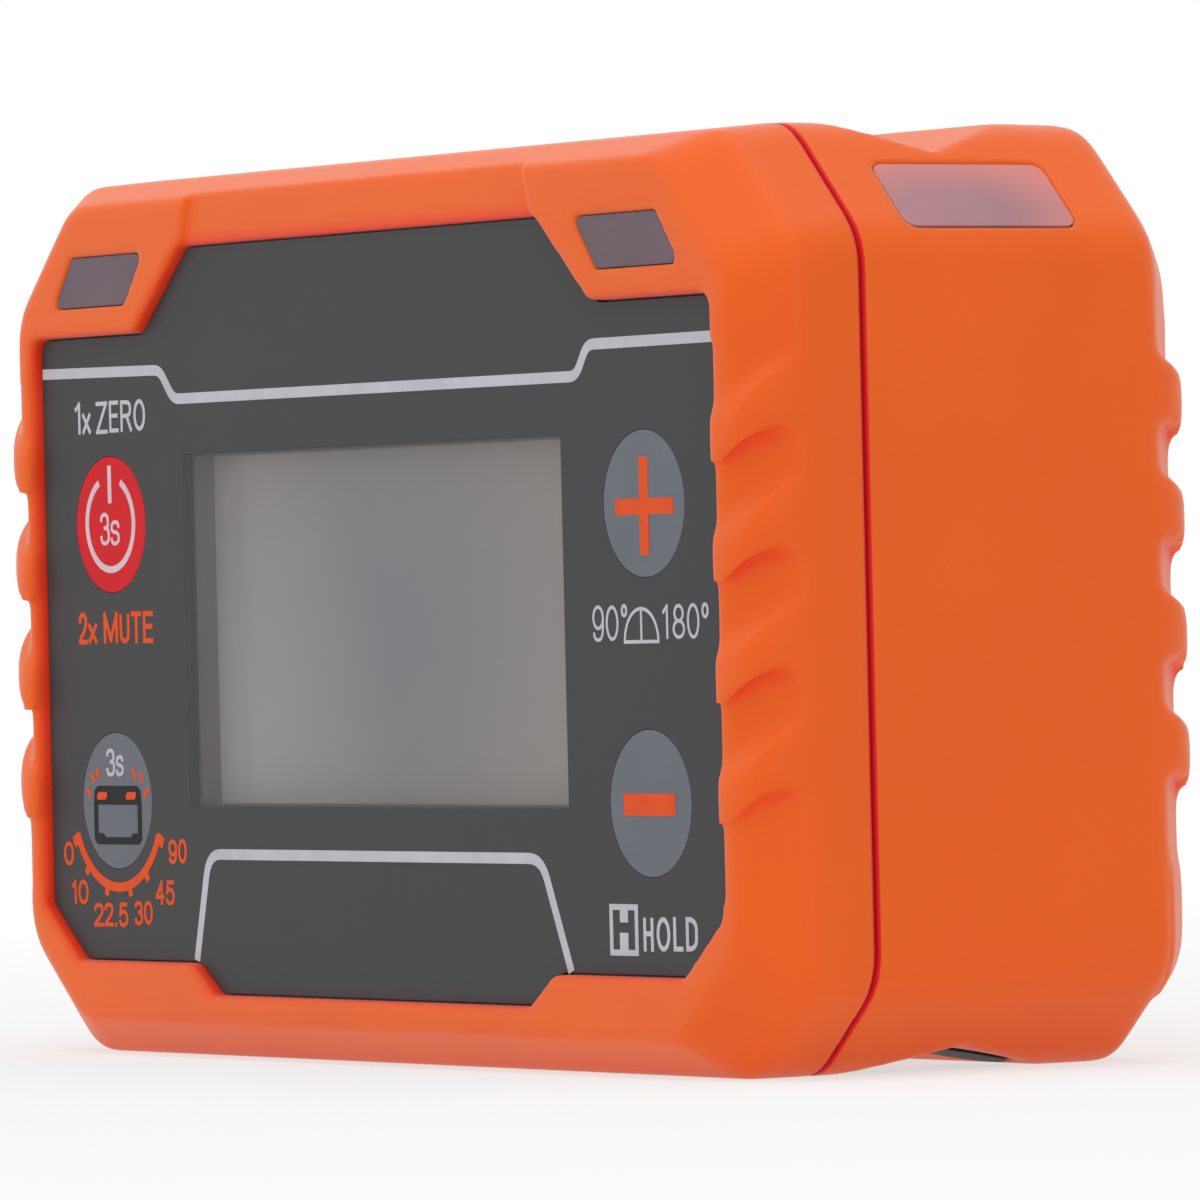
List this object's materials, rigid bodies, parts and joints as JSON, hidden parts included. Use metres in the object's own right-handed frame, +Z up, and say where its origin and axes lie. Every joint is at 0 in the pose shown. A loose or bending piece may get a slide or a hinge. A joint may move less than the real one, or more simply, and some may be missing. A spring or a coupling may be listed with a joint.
{
  "type": "digital angle gauge",
  "caption": "Pocket digital angle gauge: chamfered case with ribbed corners, grey face with display and flush keys, light windows, V-grooves in top and base, base magnets.",
  "frame": {"origin": "middle of the base, on the plane of the base lands", "axes": "+X to the right seen from the display side, +Y to the back, +Z up"},
  "size_m": [0.0902, 0.0334, 0.057],
  "materials": {
    "case_plastic": "fine satin moulding",
    "overlay_film": "matt printed film",
    "window_clear": "clear pane",
    "frame_dark": "matt",
    "display_glass": "grey display",
    "diffuser_white": "satin",
    "strip_rubber": "matt",
    "key_red": "matt",
    "key_grey": "matt",
    "switch_black": "matt",
    "light_milky": "milky, translucent",
    "lamp_body": "gloss",
    "board_green": "solder mask",
    "chip_black": "matt",
    "magnet_black": "satin black",
    "cell_jacket": "printed jacket",
    "contact_metal": "plated",
    "screw_metal": "plated"
  },
  "bodies": {
    "case": {"front_housing": "case_plastic", "rear_housing": "case_plastic", "face_overlay": "overlay_film", "display_window": "window_clear", "lcd_frame": "frame_dark", "lcd_panel": "display_glass", "backlight_panel": "diffuser_white", "lcd_connector": "strip_rubber", "key_switches": "switch_black", "front_left_light": "light_milky", "front_right_light": "light_milky", "side_left_light": "light_milky", "side_right_light": "light_milky", "front_lamps": "lamp_body", "side_lamps": "lamp_body", "circuit_board": "board_green", "controller_chip": "chip_black", "tilt_sensor": "chip_black", "sounder": "chip_black", "base_magnets": "magnet_black", "battery_cells": "cell_jacket", "bridge_contact": "contact_metal", "end_contacts": "contact_metal", "contact_springs": "contact_metal", "housing_screws": "screw_metal"},
    "power_key": {"power_button": "key_red", "power_plunger": "switch_black"},
    "program_key": {"program_button": "key_grey", "program_plunger": "switch_black"},
    "plus_key": {"plus_button": "key_grey", "plus_plunger": "switch_black"},
    "minus_key": {"minus_button": "key_grey", "minus_plunger": "switch_black"},
    "battery_door": {"battery_door": "case_plastic"}
  },
  "joints": [
    {"name": "power_press", "type": "slide", "parent": "case", "child": "power_key", "axis": [0, 1, 0], "range_m": [0, 0.0006], "stiffness_N_per_m": 1500},
    {"name": "program_press", "type": "slide", "parent": "case", "child": "program_key", "axis": [0, 1, 0], "range_m": [0, 0.0006], "stiffness_N_per_m": 1500},
    {"name": "plus_press", "type": "slide", "parent": "case", "child": "plus_key", "axis": [0, 1, 0], "range_m": [0, 0.0006], "stiffness_N_per_m": 1500},
    {"name": "minus_press", "type": "slide", "parent": "case", "child": "minus_key", "axis": [0, 1, 0], "range_m": [0, 0.0006], "stiffness_N_per_m": 1500},
    {"name": "battery_door_hinge", "type": "hinge", "parent": "case", "child": "battery_door", "pos_m": [0, 0.01558, 0.0409], "axis": [1, 0, 0], "range_deg": [0, 85]}
  ]
}
